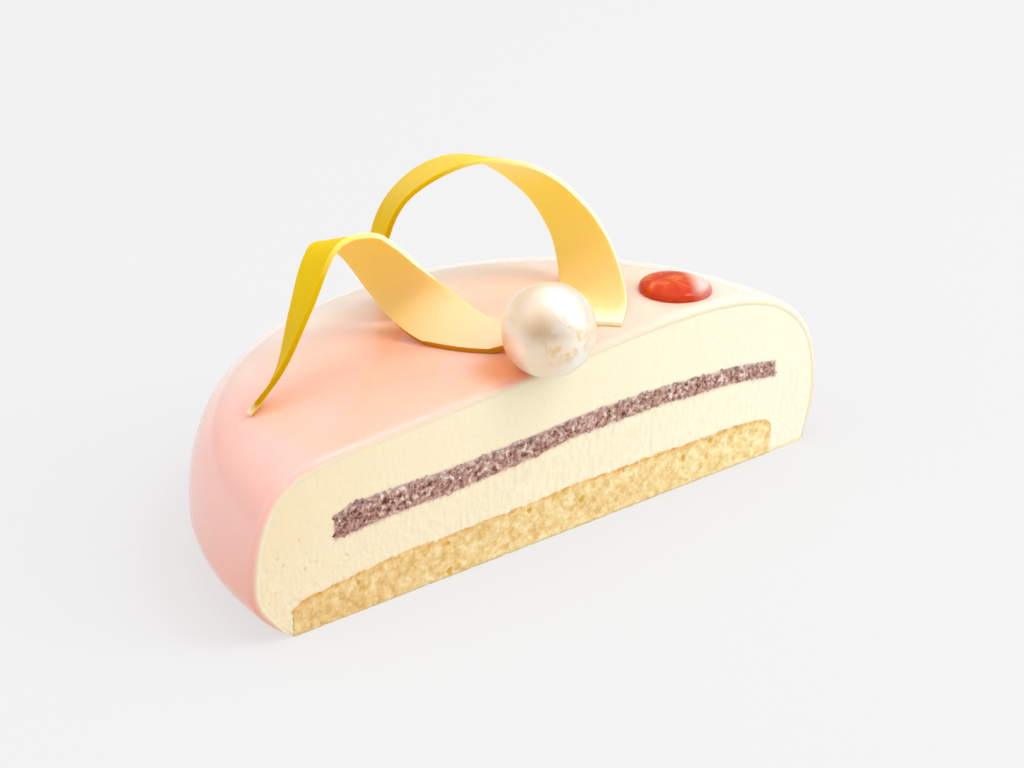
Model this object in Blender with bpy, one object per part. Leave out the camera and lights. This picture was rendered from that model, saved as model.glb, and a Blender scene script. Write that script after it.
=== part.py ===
# Half of a round semifreddo mousse cake, cut face to the front, standing on its flat base.
# Biscuit, mousse, berry layer and mirror glaze, with two chocolate curls, a chocolate pearl
# and a drop of gel on top. Blender units are metres, +Z is up, +X runs along the cut.
import math

import bmesh
import bpy
import numpy as np

MM = 0.001
GAP = 0.3 * MM                    # clearance between touching pieces
MERGE_DISTANCE = 1e-6
SHARP_ANGLE = math.radians(35)

# Cake, a half turn about the middle of the whole cake
CAKE_RADIUS = 90.0 * MM
CAKE_HEIGHT = 48.5 * MM
BELLY_HEIGHT = 15.1 * MM          # height of the widest point
TILT = 5.1 * MM                   # how far the top rises to the right and falls to the left
TOP_DISH = 0.9 * MM               # how far the middle of the top sinks
UNDERCUT = {"left": 11.3 * MM, "right": 5.3 * MM}
SHOULDER = {"left": (13.2, 1.81), "right": (3.98, 2.42)}   # powers across and up
GLAZE_THICKNESS = 2.2 * MM
GLAZE_FOOT = 0.7 * MM             # how thin the glaze gets at the foot
GLAZE_LIP = 0.8 * MM              # height of the glaze's lower edge above the base
TURN_STEPS = 36
PROFILE_STEPS = 500               # fine steps over the top of the outline
BELLY_STEPS = 60                  # and from the base to the widest point
SHOULDER_START, SHOULDER_END = 0.34, 0.58      # fractions of the outline's length
SIDE_FRACTIONS = np.concatenate([
    np.linspace(0, SHOULDER_START, 9)[:-1],
    np.linspace(SHOULDER_START, SHOULDER_END, 10),
    np.linspace(SHOULDER_END, 1, 7)[1:],
])
TOP_START = 8                     # the first of those points that is above the side

# Layers that show at the cut
BISCUIT_CENTRE = -2.6 * MM
BISCUIT_RADIUS = 76.0 * MM
BISCUIT_MIDDLE = 12.0 * MM
BISCUIT_DROOP = 3.4 * MM          # how much thinner its edge is
BERRY_CENTRE = 4.1 * MM
BERRY_RADIUS = 70.0 * MM
BERRY_BOTTOM = 22.2 * MM
BERRY_BOW = 2.4 * MM
BERRY_THICKNESS = (7.2 * MM, 5.2 * MM)     # left end, right end
LAYER_WAVE = 0.35 * MM
LONG_WAVE = 9.0 * MM
SHORT_WAVE = (4.3 * MM, 11.0 * MM)             # along the cut, away from the cut
LAYER_FRACTIONS = np.append(np.linspace(0, 0.9, 7), 1.0)
OVERSHOOT = 1.0 * MM              # how far a pocket's cutter passes the face it opens

# Decoration, x from the middle of the cake and y back from the cut
PEARL_RADIUS = 11.8 * MM
PEARL_PLACE = (-2.1 * MM, -0.3 * MM, 57.5 * MM)
PEARL_SEGMENTS = 32
PEARL_RINGS = 18
DROP_PLACE = (50.0 * MM, 12.6 * MM)
DROP_RADIUS = 9.4 * MM
DROP_HEIGHT = 3.6 * MM
DROP_RIM = 0.5 * MM
DROP_FULLNESS = 0.8               # power of the dome, 1 for a plain ellipsoid
DROP_SEGMENTS = 28
DROP_RINGS = 12
CURL_THICKNESS = 1.6 * MM

# Stations along each curl, in millimetres: the middle of the strip, then half its width as a
# vector from its far edge to its near edge
FRONT_CURL = (
    ((-68.2, 31.1, 42.9), (-1.4, -1.5, 1.4)),
    ((-59.0, 31.4, 51.7), (-2.0, -4.1, 2.5)),
    ((-50.3, 34.7, 63.6), (-1.4, -6.2, 3.1)),
    ((-40.9, 39.5, 73.7), (0.2, -7.0, 4.4)),
    ((-31.6, 42.5, 74.6), (3.2, -7.2, 2.7)),
    ((-23.1, 44.4, 68.8), (3.0, -7.1, 2.8)),
    ((-16.6, 41.7, 59.6), (3.1, -5.6, 5.1)),
    ((-11.9, 35.5, 52.6), (6.9, 0.9, 3.9)),
    ((-6.3, 25.9, 47.9), (7.0, 4.1, 2.0)),
    ((0.0, 17.8, 48.3), (5.8, 5.5, -0.9)),
)
BACK_CURL = (
    ((-10.0, 53.4, 47.0), (-2.1, -8.3, 0.0)),
    ((-13.1, 54.4, 61.9), (-3.8, -7.6, 0.0)),
    ((-8.2, 52.9, 75.7), (-3.3, -7.5, 2.2)),
    ((5.3, 50.7, 82.4), (-0.9, -8.1, 2.4)),
    ((20.2, 49.7, 80.3), (-0.2, -8.3, 2.0)),
    ((31.4, 45.8, 72.7), (-1.0, -7.2, 4.3)),
    ((36.1, 39.5, 64.4), (0.4, -6.6, 5.3)),
    ((36.0, 33.3, 57.7), (2.7, -5.8, 5.6)),
    ((32.7, 26.2, 52.6), (5.2, -5.2, 4.3)),
    ((27.4, 18.1, 49.1), (6.0, -5.7, 2.1)),
    ((19.2, 10.2, 49.1), (5.5, -6.2, 0.3)),
)
CURL_STEPS = 56

# The frame's origin is at the middle of the whole object's base
FRONT_REACH = PEARL_RADIUS - PEARL_PLACE[1]
CUT_Y = -(CAKE_RADIUS - FRONT_REACH) / 2


def clear_scene():
    for obj in list(bpy.data.objects):
        bpy.data.objects.remove(obj, do_unlink=True)


def make_collection(name):
    collection = bpy.data.collections.new(name)
    bpy.context.scene.collection.children.link(collection)
    return collection


def make_material(name, colour, roughness):
    material = bpy.data.materials.new(name)
    material.use_nodes = True
    shader = material.node_tree.nodes["Principled BSDF"]
    shader.inputs["Base Color"].default_value = (*colour, 1.0)
    shader.inputs["Roughness"].default_value = roughness
    shader.inputs["Metallic"].default_value = 0.0
    return material


def add_object(name, bm, collection, material=None):
    mesh = bpy.data.meshes.new(name)
    bm.to_mesh(mesh)
    bm.free()
    obj = bpy.data.objects.new(name, mesh)
    collection.objects.link(obj)
    if material:
        mesh.materials.append(material)
    mesh.shade_smooth()
    mesh.set_sharp_from_angle(angle=SHARP_ANGLE)
    return obj


def glaze_depth(height):
    """Thickness of the glaze, which thins towards the foot."""
    share = np.clip(height / (BELLY_HEIGHT / 2), 0, 1)
    return GLAZE_FOOT + (GLAZE_THICKNESS - GLAZE_FOOT) * share * share * (3 - 2 * share)


def dense_profile(side, under_glaze, gap):
    """Outline of one side from the base to the axis as rows of (radius, height)."""
    across, up = SHOULDER[side]
    sign = 1 if side == "right" else -1
    z_low = np.linspace(0, BELLY_HEIGHT, BELLY_STEPS)
    r_low = CAKE_RADIUS - UNDERCUT[side] * (1 - z_low / BELLY_HEIGHT) ** 2
    share = np.sin(np.linspace(0, math.pi / 2, PROFILE_STEPS)[1:])[::-1]     # radius over cake radius
    share = np.append(share[share < 1], 0.0)
    sine = np.sqrt(1 - share ** across)
    rise = CAKE_HEIGHT - BELLY_HEIGHT + sign * TILT * share - TOP_DISH * (1 - share ** 2)
    r_high = CAKE_RADIUS * share
    z_high = BELLY_HEIGHT + rise * sine ** (2 / up)
    line = np.array([np.append(r_low, r_high), np.append(z_low, z_high)]).T
    if not under_glaze:
        return line
    step = np.gradient(line, axis=0)
    length = np.maximum(np.hypot(step[:, 0], step[:, 1]), 1e-12)
    normal = np.array([step[:, 1], -step[:, 0]]).T / length[:, None]
    normal[line[:, 1] <= BELLY_HEIGHT] = (1, 0)
    normal[-1] = (0, 1)
    line = line - (glaze_depth(line[:, 1]) + gap)[:, None] * normal
    line[:, 0] = np.maximum(line[:, 0], 0)
    return line


def sample_profile(side, under_glaze, gap, fractions):
    """Points of the outline at fractions of its length."""
    line = dense_profile(side, under_glaze, gap)
    lengths = np.append(0, np.cumsum(np.hypot(*np.diff(line, axis=0).T)))
    lengths /= lengths[-1]
    radius = np.interp(fractions, lengths, line[:, 0])
    height = np.interp(fractions, lengths, line[:, 1])
    return np.array([radius, height]).T


def outline(angle, under_glaze=False, gap=0.0, lowest=0.0):
    """The cake's outline at a turn angle, which runs from 0 at the right end of the cut to pi."""
    left_share = (1 - math.cos(angle)) / 2
    right = sample_profile("right", under_glaze, gap, SIDE_FRACTIONS)
    left = sample_profile("left", under_glaze, gap, SIDE_FRACTIONS)
    line = right * (1 - left_share) + left * left_share
    line[0] = (np.interp(lowest, line[:4, 1], line[:4, 0]), lowest)
    line[-1, 0] = 0.0
    return line


def top_height(x, y):
    """Height of the glaze over a place given from the middle of the cut."""
    angle = math.atan2(max(y, 0.0), x)
    line = outline(angle)
    radius, height = line[TOP_START:].T
    order = np.argsort(radius)
    return float(np.interp(math.hypot(x, y), radius[order], height[order]))


def half_turn(section, steps, centre_x=0.0):
    """Closed solid swept in half a turn by section(angle), which starts and ends on the axis."""
    bm = bmesh.new()
    rings = []
    for angle in np.linspace(0, math.pi, steps + 1):
        cosine, sine = math.cos(angle), math.sin(angle)
        ring = []
        for radius, height in section(angle):
            ring.append(bm.verts.new((centre_x + radius * cosine, CUT_Y + radius * sine, height)))
        rings.append(ring)
    count = len(rings[0])
    for ring, after in zip(rings, rings[1:]):
        for k in range(count - 1):
            bm.faces.new((ring[k], after[k], after[k + 1], ring[k + 1]))
    bm.faces.new(rings[0])
    bm.faces.new(reversed(rings[-1]))
    bmesh.ops.remove_doubles(bm, verts=bm.verts, dist=MERGE_DISTANCE)
    bmesh.ops.dissolve_degenerate(bm, edges=bm.edges, dist=MERGE_DISTANCE / 10)
    bmesh.ops.triangulate(bm, faces=bm.faces)
    bmesh.ops.recalc_face_normals(bm, faces=bm.faces)
    return bm


def mousse_section(angle):
    line = outline(angle, under_glaze=True, gap=GAP)
    return [(0.0, 0.0), *line]


def glaze_section(angle):
    outer = outline(angle, lowest=GLAZE_LIP)
    inner = outline(angle, under_glaze=True, lowest=GLAZE_LIP)
    return [*outer[::-1], *inner]


def wave(x, y, size):
    """Gentle unevenness of a hand-made layer."""
    long_wave = math.sin(x / LONG_WAVE + 0.6)
    short_wave = math.sin(x / SHORT_WAVE[0] + y / SHORT_WAVE[1])
    return size * (0.6 * long_wave + 0.4 * short_wave)


def layer(centre_x, radius, bottom, top, grow=0.0):
    """Half disc whose faces are bottom(x, y) and top(x, y), grown on every side for a pocket."""
    def section(angle):
        points = []
        for face, order in ((bottom, LAYER_FRACTIONS), (top, LAYER_FRACTIONS[::-1])):
            for share in order:
                r = share * radius
                x, y = centre_x + r * math.cos(angle), r * math.sin(angle)
                z = face(x, y) + (grow if face is top else -grow)
                points.append((r + grow * share, z))
        return points

    return half_turn(section, TURN_STEPS, centre_x)


def biscuit_top(x, y):
    share = math.hypot(x - BISCUIT_CENTRE, y) / BISCUIT_RADIUS
    return BISCUIT_MIDDLE - BISCUIT_DROOP * share ** 4 + wave(x, y, LAYER_WAVE)


def berry_bottom(x, y):
    share = math.hypot(x - BERRY_CENTRE, y) / BERRY_RADIUS
    return BERRY_BOTTOM + BERRY_BOW * (1 - share ** 2) + wave(x, y, LAYER_WAVE)


def berry_top(x, y):
    along = (x - BERRY_CENTRE + BERRY_RADIUS) / (2 * BERRY_RADIUS)
    left, right = BERRY_THICKNESS
    return berry_bottom(x, y) + left + (right - left) * along - wave(x, y, LAYER_WAVE / 2)


def spline(points, count):
    """Catmull-Rom curve through the points, count + 1 places evenly spread over its spans."""
    points = np.array(points, float)
    ends = np.array([2 * points[0] - points[1], 2 * points[-1] - points[-2]])
    points = np.vstack([ends[:1], points, ends[1:]])
    result = []
    for place in np.linspace(0, len(points) - 3, count + 1):
        k = min(int(place), len(points) - 4)
        t = place - k
        a, b, c, d = points[k:k + 4]
        result.append(0.5 * (2 * b + (c - a) * t + (2 * a - 5 * b + 4 * c - d) * t ** 2
                             + (3 * b - a - 3 * c + d) * t ** 3))
    return np.array(result)


def lift_over_glaze(point, offset):
    """How far a point of a strip rises for both faces of the strip to clear the glaze."""
    lift = 0.0
    for face in (point - offset, point + offset):
        lift = max(lift, top_height(face[0], face[1]) + GAP - face[2])
    return lift


def curl(stations):
    """Strip of chocolate: a ruled surface between its two edges, thickened both ways."""
    middle = spline([place for place, _ in stations], CURL_STEPS) * MM
    half = spline([reach for _, reach in stations], CURL_STEPS) * MM
    along = np.gradient(middle, axis=0)
    normal = np.cross(along, half)
    normal /= np.linalg.norm(normal, axis=1)[:, None]
    bm = bmesh.new()
    rings = []
    for centre, reach, facing in zip(middle, half, normal):
        offset = facing * CURL_THICKNESS / 2
        below, above = [], []
        for share in (-1, 0, 1):
            point = centre + share * reach
            point[2] += lift_over_glaze(point, offset)
            point[1] += CUT_Y
            below.append(bm.verts.new(point - offset))
            above.append(bm.verts.new(point + offset))
        rings.append(below + above[::-1])
    count = len(rings[0])
    for ring, after in zip(rings, rings[1:]):
        for k in range(count):
            following = (k + 1) % count
            bm.faces.new((ring[k], ring[following], after[following], after[k]))
    bm.faces.new(rings[0])
    bm.faces.new(rings[-1][::-1])
    bmesh.ops.triangulate(bm, faces=bm.faces)
    bmesh.ops.recalc_face_normals(bm, faces=bm.faces)
    return bm


def pearl_ball(radius):
    bm = bmesh.new()
    bmesh.ops.create_uvsphere(bm, u_segments=PEARL_SEGMENTS, v_segments=PEARL_RINGS, radius=radius)
    x, y, z = PEARL_PLACE
    bmesh.ops.translate(bm, verts=bm.verts, vec=(x, CUT_Y + y, z))
    return bm


def gel_drop():
    """Dome of gel whose underside follows the glaze."""
    bm = bmesh.new()
    bmesh.ops.create_uvsphere(bm, u_segments=DROP_SEGMENTS, v_segments=DROP_RINGS, radius=1.0)
    for vert in bm.verts:
        x = DROP_PLACE[0] + vert.co.x * DROP_RADIUS
        y = DROP_PLACE[1] + vert.co.y * DROP_RADIUS
        lift = GAP
        if vert.co.z > -MERGE_DISTANCE:
            lift += DROP_RIM + (DROP_HEIGHT - DROP_RIM) * max(vert.co.z, 0.0) ** DROP_FULLNESS
        vert.co = (x, CUT_Y + y, top_height(x, y) + lift)
    return bm


def add_cutter(name, bm, collection):
    cutter = add_object(name, bm, collection)
    cutter.hide_render = True
    cutter.display_type = "WIRE"
    return cutter


def cut_with(obj, cutter):
    modifier = obj.modifiers.new(cutter.name, "BOOLEAN")
    modifier.operation = "DIFFERENCE"
    modifier.solver = "EXACT"
    modifier.object = cutter


def build():
    clear_scene()
    cake = make_collection("Semifreddo cake")
    cutters = make_collection("Cutters")
    mousse_look = make_material("mousse", (0.94, 0.86, 0.66), 0.55)
    glaze_look = make_material("mirror glaze", (0.95, 0.62, 0.54), 0.12)
    biscuit_look = make_material("biscuit", (0.80, 0.63, 0.30), 0.9)
    berry_look = make_material("berry insert", (0.30, 0.16, 0.14), 0.7)
    chocolate_look = make_material("white chocolate", (0.92, 0.72, 0.35), 0.4)
    pearl_look = make_material("pearl chocolate", (0.90, 0.82, 0.66), 0.25)
    gel_look = make_material("fruit gel", (0.80, 0.16, 0.07), 0.08)

    biscuit = layer(BISCUIT_CENTRE, BISCUIT_RADIUS, lambda x, y: 0.0, biscuit_top)
    add_object("biscuit", biscuit, cake, biscuit_look)
    berry = layer(BERRY_CENTRE, BERRY_RADIUS, berry_bottom, berry_top)
    add_object("berry_layer", berry, cake, berry_look)
    mousse = add_object("mousse", half_turn(mousse_section, TURN_STEPS), cake, mousse_look)
    glaze = add_object("glaze", half_turn(glaze_section, TURN_STEPS), cake, glaze_look)
    add_object("pearl", pearl_ball(PEARL_RADIUS), cake, pearl_look)
    add_object("gel_drop", gel_drop(), cake, gel_look)
    add_object("front_curl", curl(FRONT_CURL), cake, chocolate_look)
    add_object("back_curl", curl(BACK_CURL), cake, chocolate_look)

    biscuit_room = layer(BISCUIT_CENTRE, BISCUIT_RADIUS, lambda x, y: -OVERSHOOT, biscuit_top, GAP)
    berry_room = layer(BERRY_CENTRE, BERRY_RADIUS, berry_bottom, berry_top, GAP)
    for name, room in (("biscuit pocket", biscuit_room), ("berry pocket", berry_room)):
        at_cut = [vert for vert in room.verts if vert.co.y < CUT_Y + MERGE_DISTANCE]
        bmesh.ops.translate(room, verts=at_cut, vec=(0, -OVERSHOOT, 0))
        cut_with(mousse, add_cutter(name, room, cutters))
    pearl_pocket = add_cutter("pearl pocket", pearl_ball(PEARL_RADIUS + GAP), cutters)
    cut_with(mousse, pearl_pocket)
    cut_with(glaze, pearl_pocket)


build()
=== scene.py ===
# Half of a semifreddo cake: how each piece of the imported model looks.
# The sections follow the cake as it is put together: glaze, mousse, biscuit, berry layer, then
# the pearl, the gel drop and the two curls on top. Sizes are metres, written in millimetres.
import math

import bmesh
import bpy
import numpy as np
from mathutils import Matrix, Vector, kdtree, noise


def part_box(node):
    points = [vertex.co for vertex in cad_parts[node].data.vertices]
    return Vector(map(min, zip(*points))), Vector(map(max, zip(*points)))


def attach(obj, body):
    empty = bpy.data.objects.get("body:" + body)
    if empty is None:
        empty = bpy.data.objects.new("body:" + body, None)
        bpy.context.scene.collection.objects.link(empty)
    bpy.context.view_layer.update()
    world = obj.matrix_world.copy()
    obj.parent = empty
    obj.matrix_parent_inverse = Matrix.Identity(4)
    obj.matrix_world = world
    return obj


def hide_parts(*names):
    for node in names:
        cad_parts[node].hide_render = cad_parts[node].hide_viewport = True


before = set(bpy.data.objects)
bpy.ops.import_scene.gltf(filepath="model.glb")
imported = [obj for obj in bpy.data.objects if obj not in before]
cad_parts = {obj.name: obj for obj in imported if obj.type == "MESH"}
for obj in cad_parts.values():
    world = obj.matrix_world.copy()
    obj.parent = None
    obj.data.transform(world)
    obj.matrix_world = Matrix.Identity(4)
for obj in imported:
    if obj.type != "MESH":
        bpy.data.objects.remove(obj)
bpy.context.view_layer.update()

# Camera: a long lens, well back, on the front left of the cut and looking down at it.
# The cut's own plane and the cake's middle give the point that it looks at.
MM = 0.001
CUT_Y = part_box("mousse")[0].y
CAMERA_TURN = math.radians(-38.528)
CAMERA_RISE = math.radians(25.972)
CAMERA_DISTANCE = 748.16 * MM
CAMERA_LENS = 104.67
SENSOR_WIDTH = 36.0
AIM = Vector((0.0, CUT_Y + 18.0 * MM, 18.0 * MM))
AIM_SHIFT = (0.854 * MM, 15.639 * MM)          # right and up, as the camera sees it

camera_back = Vector((
    math.sin(CAMERA_TURN) * math.cos(CAMERA_RISE),
    -math.cos(CAMERA_TURN) * math.cos(CAMERA_RISE),
    math.sin(CAMERA_RISE),
))
camera_right = Vector((math.cos(CAMERA_TURN), math.sin(CAMERA_TURN), 0.0))
camera_up = camera_back.cross(camera_right)
camera_aim = AIM + camera_right * AIM_SHIFT[0] + camera_up * AIM_SHIFT[1]
camera = bpy.data.objects.new("camera", bpy.data.cameras.new("camera"))
camera.data.lens = CAMERA_LENS
camera.data.sensor_width = SENSOR_WIDTH
camera.data.clip_start = 10 * MM
camera.location = camera_aim + camera_back * CAMERA_DISTANCE
camera.rotation_euler = (math.pi / 2 - CAMERA_RISE, 0.0, CAMERA_TURN)
bpy.context.collection.objects.link(camera)
bpy.context.scene.camera = camera


# Studio: a pale table lit from below, so that only a faint shadow shows, in a white room that is
# brightest overhead. Two softboxes on the right give highlights, and one lightens the left wall.
def linear(hex_colour):
    """An sRGB hex colour as linear red, green, blue and alpha."""
    channels = [int(hex_colour[k:k + 2], 16) / 255 for k in (1, 3, 5)]
    return (*[c / 12.92 if c <= 0.04045 else ((c + 0.055) / 1.055) ** 2.4 for c in channels], 1.0)


def add_node(tree, kind, inputs=None, stops=(), **settings):
    """Adds a node with its settings, its inputs and its colour ramp's stops.

    An input is a value, a hex colour, a socket to link, or a node, whose first live output is linked.
    """
    node = tree.nodes.new(kind)
    for name, value in settings.items():
        setattr(node, name, value)
    for key, value in (inputs or {}).items():
        if isinstance(value, bpy.types.Node):
            value = next(output for output in value.outputs if output.enabled)
        if isinstance(value, bpy.types.NodeSocket):
            tree.links.new(value, node.inputs[key])
        else:
            is_colour = isinstance(value, str) and value.startswith("#")
            node.inputs[key].default_value = linear(value) if is_colour else value
    for place, (position, colour) in enumerate(stops):
        elements = node.color_ramp.elements
        element = elements[place] if place < 2 else elements.new(position)
        element.position = position
        element.color = linear(colour)
    return node


def new_material(name):
    material = bpy.data.materials.new(name)
    material.use_nodes = True
    material.node_tree.nodes.clear()
    return material, material.node_tree


TABLE_SIZE = 6000 * MM
TABLE_GLOW = 0.622
ROOM_AT_HORIZON = 0.45
ROOM_OVERHEAD = 1.6
LAMPS = {                                       # direction, distance, width, power
    "high softbox": ((0.36, -0.34, 0.87), 2400 * MM, 900 * MM, 14.5),
    "right softbox": ((0.64, -0.61, 0.48), 1600 * MM, 900 * MM, 7.5),
    "left softbox": ((-0.86, 0.22, 0.46), 2400 * MM, 2200 * MM, 7.0),
}

table_material, tree = new_material("pale lit table")
table_top = add_node(tree, "ShaderNodeBsdfDiffuse", {"Color": "#7c7c7c"})
table_glow = add_node(tree, "ShaderNodeEmission", {"Color": "#ffffff", "Strength": TABLE_GLOW})
table_mix = add_node(tree, "ShaderNodeAddShader", {0: table_top, 1: table_glow})
add_node(tree, "ShaderNodeOutputMaterial", {"Surface": table_mix})

bpy.ops.mesh.primitive_plane_add(size=TABLE_SIZE, location=(0.0, 0.0, 0.0))
table = bpy.context.object
table.name = "table"
table.data.materials.append(table_material)

world = bpy.data.worlds.new("white room, brighter overhead")
world.use_nodes = True
tree = world.node_tree
tree.nodes.clear()
direction = add_node(tree, "ShaderNodeTexCoord").outputs["Generated"]
upwards = add_node(tree, "ShaderNodeSeparateXYZ", {0: direction}).outputs["Z"]
squared = add_node(tree, "ShaderNodeMath", {0: upwards, 1: upwards}, operation="MULTIPLY")
strength = add_node(tree, "ShaderNodeMapRange", {
    "Value": squared, "To Min": ROOM_AT_HORIZON, "To Max": ROOM_OVERHEAD,
})
room = add_node(tree, "ShaderNodeBackground", {"Color": "#fcfcfd", "Strength": strength})
add_node(tree, "ShaderNodeOutputWorld", {"Surface": room})
bpy.context.scene.world = world
bpy.context.scene.view_settings.view_transform = "Standard"

for name, (direction, distance, width, power) in LAMPS.items():
    lamp = bpy.data.objects.new(name, bpy.data.lights.new(name, "AREA"))
    lamp.data.size = width
    lamp.data.energy = power
    lamp.location = AIM + Vector(direction).normalized() * distance
    lamp.rotation_euler = Vector(direction).to_track_quat("Z", "Y").to_euler()
    bpy.context.collection.objects.link(lamp)

# Mirror glaze: white chocolate and glucose, poured warm over the frozen cake, which runs down as
# one even skin and sets glossy. The knife drags it a little, so the cut's edge is round and soft.
CAKE_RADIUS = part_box("glaze")[1].x
CAKE_HEIGHT = 48.5 * MM
BELLY_HEIGHT = 15.1 * MM
TILT = 5.1 * MM
TOP_DISH = 0.9 * MM
UNDERCUT = {"left": 11.3 * MM, "right": 5.3 * MM}
SHOULDER = {"left": (13.2, 1.81), "right": (3.98, 2.42)}
WALL_POINTS = 80
TOP_POINTS = 700
GLAZE_THICKNESS = 2.2 * MM
GLAZE_CORE = 5.0 * MM                           # its mesh goes deeper, so that no light is lost behind it
GLAZE_FOOT = 0.3                                # share of the thickness at the foot
GLAZE_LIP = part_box("glaze")[0].z
GLAZE_LIP_HEIGHT = 2.0 * MM
RIM_ON_TOP = 1.9 * MM                           # radius of the cut's rounded rim on the top
RIM_ON_WALL = 2.1 * MM                          # and down the wall at its two ends
RIM_TUCK = 1.1 * MM                             # how far the rim's inner edge goes in under the mousse
GLAZE_PROFILE_POINTS = 150
# Painted warm shade and glow on the glaze round the pearl, under the front curl and round the gel drop.
GLAZE_PAINTED_SHADE = (                               # place with y from the cut, radius, share, colour
    ((-9.0 * MM, 6.0 * MM, 45.5 * MM), 12.0 * MM, 0.7, "#ee9468"),
    ((-19.0 * MM, 36.0 * MM, 46.0 * MM), 15.0 * MM, 0.5, "#f6a888"),
    ((50.0 * MM, 12.6 * MM, 49.0 * MM), 13.5 * MM, 0.4, "#f48a70"),
)


def smooth_share(value, low, high):
    """Goes smoothly from 0 at low to 1 at high."""
    share = np.clip((value - low) / (high - low), 0.0, 1.0)
    return share * share * (3 - 2 * share)


def side_outline(side, depth=0.0, lowest=0.0):
    """One side's outline from its foot to the axis, as rows of radius and height, under the glaze."""
    across, up = SHOULDER[side]
    lean = TILT if side == "right" else -TILT
    low = np.linspace(lowest, BELLY_HEIGHT, WALL_POINTS)
    low_radius = CAKE_RADIUS - UNDERCUT[side] * (1 - low / BELLY_HEIGHT) ** 2
    share = np.append(np.sin(np.linspace(math.pi / 2, 0, TOP_POINTS)[1:-1]), 0.0)
    rise = CAKE_HEIGHT - BELLY_HEIGHT + lean * share - TOP_DISH * (1 - share ** 2)
    high = BELLY_HEIGHT + rise * (1 - share ** across) ** (1 / up)
    line = np.array([np.append(low_radius, CAKE_RADIUS * share), np.append(low, high)]).T
    step = np.gradient(line, axis=0)
    normal = np.array([step[:, 1], -step[:, 0]]).T / np.hypot(*step.T)[:, None]
    normal[line[:, 1] <= BELLY_HEIGHT] = (1, 0)
    normal[-1] = (0, 1)
    over_foot = line[:, 1] - lowest
    share = GLAZE_FOOT + (1 - GLAZE_FOOT) * smooth_share(over_foot, 0.0, BELLY_HEIGHT / 2)
    share = share * np.clip(over_foot / GLAZE_LIP_HEIGHT, 0, 1)
    line = line - (depth * share)[:, None] * normal
    line[:, 0] = np.maximum(line[:, 0], 0)
    return line


def evenly(line, count):
    """The same outline as count points, evenly spaced along it."""
    length = np.append(0, np.cumsum(np.hypot(*np.diff(line, axis=0).T)))
    places = np.linspace(0, length[-1], count)
    return np.array([np.interp(places, length, line[:, 0]), np.interp(places, length, line[:, 1])]).T


def upright(line):
    """An outline's rows as points in the plane of X and Z."""
    return [(float(radius), 0.0, float(height)) for radius, height in line]


def new_object(name, vertices, faces=(), edges=()):
    mesh = bpy.data.meshes.new(name)
    mesh.from_pydata(vertices, edges, faces)
    obj = bpy.data.objects.new(name, mesh)
    bpy.context.collection.objects.link(obj)
    return obj


def store(mesh, **stored):
    """Stores named numbers or vectors on a mesh's vertices."""
    for name, values in stored.items():
        values = np.asarray(values, np.float32)
        kind, field = ("FLOAT_VECTOR", "vector") if values.ndim == 2 else ("FLOAT", "value")
        mesh.attributes.new(name, kind, "POINT").data.foreach_set(field, values.ravel())


def work_out(tree, values, rows):
    """Adds a table of nodes to a tree, and their outputs to the named values.

    A row has a name for each output, a kind of node with its choice behind a space, or a sum's
    operation alone, and the inputs, in order or by socket. An input can be an earlier name.
    """
    choices = {"ShaderNodeMath": "operation", "ShaderNodeVectorMath": "operation",
               "ShaderNodeMapRange": "interpolation_type"}
    for names, what, *inputs in rows:
        kind, _, choice = (what if "Node" in what else "ShaderNodeMath " + what).partition(" ")
        inputs = inputs[0] if inputs and isinstance(inputs[0], dict) else dict(enumerate(inputs))
        inputs = {key: values.get(value, value) for key, value in inputs.items()}
        node = add_node(tree, kind, inputs, **({choices.get(kind, "data_type"): choice} if choice else {}))
        names = [names] if isinstance(names, str) else names
        values.update(zip(names, (output for output in node.outputs if output.enabled)))


def new_tree(name, inputs, stored=()):
    """A Geometry Nodes tree that takes and gives a geometry, with its inputs and stored values by name."""
    tree = bpy.data.node_groups.new(name, "GeometryNodeTree")
    for label, kind in {"Geometry": "Geometry", **inputs}.items():
        tree.interface.new_socket(label, in_out="INPUT", socket_type="NodeSocket" + kind)
    tree.interface.new_socket("Geometry", in_out="OUTPUT", socket_type="NodeSocketGeometry")
    values = {socket.name: socket for socket in add_node(tree, "NodeGroupInput").outputs}
    for label in stored:
        values[label] = add_node(tree, "GeometryNodeInputNamedAttribute", {"Name": label}, data_type="FLOAT")
    return tree, values


def end_tree(tree, values, geometry, stored=(), merge=0.0, kept=None, **moved):
    """Ends a tree: stores values on the points, moves them, closes seams and sets the finish.

    A kept geometry stays beside the new one.
    """
    geometry = values[geometry]
    for name in stored:
        geometry = add_node(tree, "GeometryNodeStoreNamedAttribute", {
            "Geometry": geometry, "Name": name, "Value": values[name],
        }, domain="POINT", data_type="FLOAT")
    if moved:
        moves = {key: values[name] for key, name in moved.items()}
        geometry = add_node(tree, "GeometryNodeSetPosition", {"Geometry": geometry, **moves})
    if merge:
        geometry = add_node(tree, "GeometryNodeMergeByDistance", {"Geometry": geometry, "Distance": merge})
    real = add_node(tree, "GeometryNodeRealizeInstances", {"Geometry": geometry})
    result = add_node(tree, "GeometryNodeSetMaterial", {"Geometry": real, "Material": values["finish"]})
    if kept:
        both = add_node(tree, "GeometryNodeJoinGeometry", {0: values[kept]})
        tree.links.new(result.outputs[0], both.inputs[0])
        result = both
    add_node(tree, "NodeGroupOutput", {"Geometry": result})
    return tree


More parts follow.
